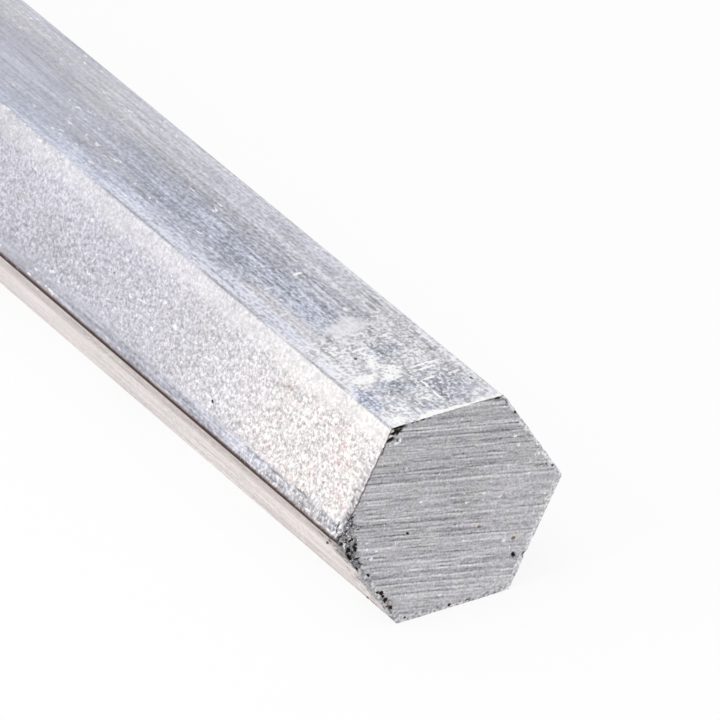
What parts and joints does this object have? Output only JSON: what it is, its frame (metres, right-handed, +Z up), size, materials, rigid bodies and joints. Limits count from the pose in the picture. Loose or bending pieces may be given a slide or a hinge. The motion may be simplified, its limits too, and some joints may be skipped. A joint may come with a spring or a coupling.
{
  "type": "hexagonal bar stock",
  "caption": "Solid hexagonal aluminium bar, drawn with small corner radii and sawn square at both ends, raw stock for turned and threaded parts.",
  "frame": {"origin": "middle of the flat that the bar lies on", "axes": "+X along the bar towards the end that the picture shows, +Z up out of the opposite flat, corners at +Y and -Y"},
  "size_m": [0.3048, 0.022, 0.0191],
  "materials": {
    "mill_aluminium": "mill finish with drawing lines along the flats, scuffed near the ends, and sawn end faces"
  },
  "bodies": {
    "root": {"hex_bar": "mill_aluminium"}
  },
  "joints": []
}
